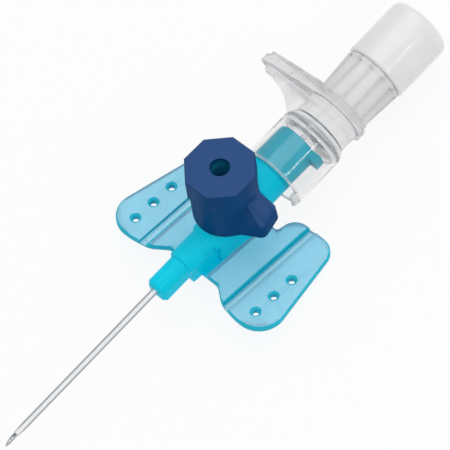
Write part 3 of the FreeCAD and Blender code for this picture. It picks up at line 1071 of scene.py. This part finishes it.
@dataclass
class NeedleHub:
    """Clear shroud, thumb plate, web and fluted flash chamber in one moulding."""

    tongue: Span = (20.9, 20.4)
    neck: Span = (26.8, 27.8)
    grip: Span = (32.4, 33.4)
    web: Span = (3.8, 4.6)
    grip_wall: Span = (3.3, 3.4)
    grip_side: float = -0.9
    flutes: int = 12

    def finish(self) -> ClearPolymer:
        """Lay the finish out by the moulding's sizes.

        Returns:
            The finish.
        """
        # Polycarbonate, moulded in a polished tool: it shows mostly by its edges and by what it mirrors.
        # Its IOR is under the plastic's own 1.58, so that the thin walls don't show dark.
        return ClearPolymer(
            "polycarbonate_clear_moulded",
            "#FBFBFB",
            "#F6F6F7",
            roughness=0.07,
            ior=1.4,
            specular=0.3,
            transmission=0.99,
            roughness_drift=0.02,
            depth_colour="#EDEDEE",
            depth_mm=8.0,
            lamp_light=0.9,
            grain_depth_mm=0.001,
            tongue_from_mm=self.tongue,
            neck_from_mm=self.neck,
            grip_from_mm=self.grip,
            web_from_mm=self.web,
            flutes=self.flutes,
            side_mm=self.grip_side,
            wall_r_mm=self.grip_wall,
        )

    def build(self) -> None:
        """Dress the moulding."""
        dress("needle_hub", self.finish().build())


@dataclass
class VentPlug:
    """White plug with a rounded rim, a spigot that fills the flash chamber, and its filter disc."""

    seam: float = 0.05
    spigot_r: float = 2.55
    spigot_round: float = 0.1
    bore_r: float = 2.2
    bore_round: float = 0.2
    floor: float = 2.0
    vent_r: float = 0.5
    front_round: float = 0.4
    rear_round: float = 1.0
    vent_round: float = 0.12
    disc_round: float = 0.1
    disc_segments: int = 64

    def shell(self) -> bpy.types.Object:
        """Turn the hollow plug between the ends of its box in the frame.

        Returns:
            The plug.
        """
        low, high = extent("flash_plug")
        radius = (high.y - low.y) / 2
        face = extent("needle_hub")[1].x + self.seam
        corners = [
            (low.x, self.bore_r, 0.0),
            (low.x, self.spigot_r, self.spigot_round),
            (face, self.spigot_r, 0.0),
            (face, radius, self.front_round),
            (high.x, radius, self.rear_round),
            (high.x, self.vent_r, self.vent_round),
            (high.x - self.floor, self.vent_r, 0.0),
            (high.x - self.floor, self.bore_r, self.bore_round),
        ]
        return turned_piece("vent_plug", rounded_profile(corners), (low.y + high.y) / 2)

    def disc(self) -> bpy.types.Object:
        """Turn the porous disc in its box in the frame.

        Returns:
            The disc.
        """
        low, high = extent("filter_disc")
        radius = (high.y - low.y) / 2
        corners = [
            (low.x, 0.0, 0.0),
            (low.x, radius, self.disc_round),
            (high.x, radius, self.disc_round),
            (high.x, 0.0, 0.0),
        ]
        side = (low.y + high.y) / 2
        return turned_piece("vent_filter", rounded_profile(corners), side, self.disc_segments)

    def build(self) -> None:
        """Make the plug and its disc."""
        stand_in(self.shell(), "flash_plug", Body.PLUG, PLUG.build())
        stand_in(self.disc(), "filter_disc", Body.PLUG, FILTER.build())


@dataclass
class Softbox:
    """A square or oblong lamp that faces the part.

    The brightness is what a white matt surface square to it would show, from 0 to 1.
    """

    name: str
    direction: tuple[float, float, float]
    distance_mm: float
    width_mm: float
    height_mm: float
    brightness: float

    def build(self) -> None:
        """Hang the lamp."""
        lamp = bpy.data.lights.new(self.name, "AREA")
        lamp.shape = "RECTANGLE"
        lamp.size = self.width_mm * MM
        lamp.size_y = self.height_mm * MM
        lamp.energy = self.brightness * (math.pi * self.distance_mm * MM) ** 2
        holder = bpy.data.objects.new(self.name, lamp)
        bpy.context.scene.collection.objects.link(holder)
        towards = Vector(self.direction).normalized()
        holder.location = towards * self.distance_mm * MM
        holder.rotation_euler = towards.to_track_quat("Z", "Y").to_euler()
        log.info("%s: %.2f W", self.name, lamp.energy)


@dataclass
class Studio:
    """Pale floor, soft light and the camera of the photograph."""

    target_mm: tuple[float, float, float] = (12.751, 0.762, -2.835)
    azimuth_deg: float = -27.004
    elevation_deg: float = 61.033
    roll_deg: float = -21.898
    distance_mm: float = 1111.0
    view_mm: float = 55.68
    sensor_mm: float = 36.0
    clip_m: tuple[float, float] = (0.05, 10.0)
    floor_mm: float = 1500.0
    floor_gap_mm: float = 0.01
    floor_colour: str = "#F3F3F3"
    floor_white: float = 0.88
    sky: float = 0.6
    sky_seen: float = 0.62
    lamps: list[Softbox] = field(
        default_factory=lambda: [
            Softbox("key", (0.35, 0.10, 0.93), 600.0, 560.0, 560.0, 0.36),
            Softbox("strip", (0.0, -0.77, 0.64), 600.0, 420.0, 22.0, 0.13),
        ]
    )

    def camera(self) -> None:
        """Place the long-lens camera that looks down on the part at the photograph's angle."""
        data = bpy.data.cameras.new("camera")
        data.sensor_width = self.sensor_mm
        data.lens = self.sensor_mm * self.distance_mm / self.view_mm
        data.clip_start, data.clip_end = self.clip_m
        holder = bpy.data.objects.new("camera", data)
        bpy.context.scene.collection.objects.link(holder)
        azimuth = math.radians(self.azimuth_deg)
        tilt = math.radians(90 - self.elevation_deg)
        turn = (
            Matrix.Rotation(azimuth, 4, "Z")
            @ Matrix.Rotation(tilt, 4, "X")
            @ Matrix.Rotation(math.radians(self.roll_deg), 4, "Z")
        )
        back = turn @ Vector((0, 0, self.distance_mm * MM))
        holder.matrix_world = Matrix.Translation(Vector(self.target_mm) * MM + back) @ turn
        bpy.context.scene.camera = holder

    def floor(self, height: float) -> None:
        """Lay the floor under the part.

        Args:
            height: the floor's height in metres.
        """
        half = self.floor_mm * MM
        mesh = bpy.data.meshes.new("floor")
        mesh.from_pydata(
            [(-half, -half, height), (half, -half, height), (half, half, height), (-half, half, height)],
            [],
            [(0, 1, 2, 3)],
        )
        piece = bpy.data.objects.new("floor", mesh)
        bpy.context.scene.collection.objects.link(piece)
        material, tree = blank_material("floor_white")
        matt = add_node(tree, "ShaderNodeBsdfDiffuse", {"Color": linear(self.floor_colour)})
        glow = add_node(tree, "ShaderNodeEmission", {"Color": linear("#FFFFFF"), "Strength": 1.0})
        share = add_node(
            tree, "ShaderNodeMath", {"operation": "MULTIPLY", 1: self.floor_white}, {0: seen_directly(tree)}
        )
        mix = add_node(tree, "ShaderNodeMixShader", {}, {0: share, 1: matt, 2: glow})
        add_node(tree, "ShaderNodeOutputMaterial", {}, {"Surface": mix})
        mesh.materials.append(material)

    def sky_light(self) -> None:
        """Fill the shadows with a plain white sky."""
        world = bpy.data.worlds.new("sky")
        world.use_nodes = True
        world.node_tree.nodes.clear()
        tree = world.node_tree
        span = {"To Min": self.sky, "To Max": self.sky_seen}
        strength = add_node(tree, "ShaderNodeMapRange", span, {"Value": seen_directly(tree)})
        sky = add_node(tree, "ShaderNodeBackground", {"Color": linear("#FFFFFF")}, {"Strength": strength})
        add_node(tree, "ShaderNodeOutputWorld", {}, {"Surface": sky})
        bpy.context.scene.world = world

    def build(self) -> None:
        """Set the stage."""
        low = WORLD_BOX[0][2]
        self.camera()
        self.floor(low - self.floor_gap_mm * MM)
        self.sky_light()
        for lamp in self.lamps:
            lamp.build()
        bpy.context.scene.view_settings.view_transform = "Standard"
        log.info("studio: floor at %.2f mm", low / MM)


def main() -> None:
    """Build every sub-assembly and set the studio."""
    steel = STEEL.build()
    CatheterHub().build()
    Catheter().build(steel)
    Needle().build(steel)
    PortCap().build()
    NeedleHub().build()
    VentPlug().build()
    Studio().build()


if __name__ == "__main__":
    main()
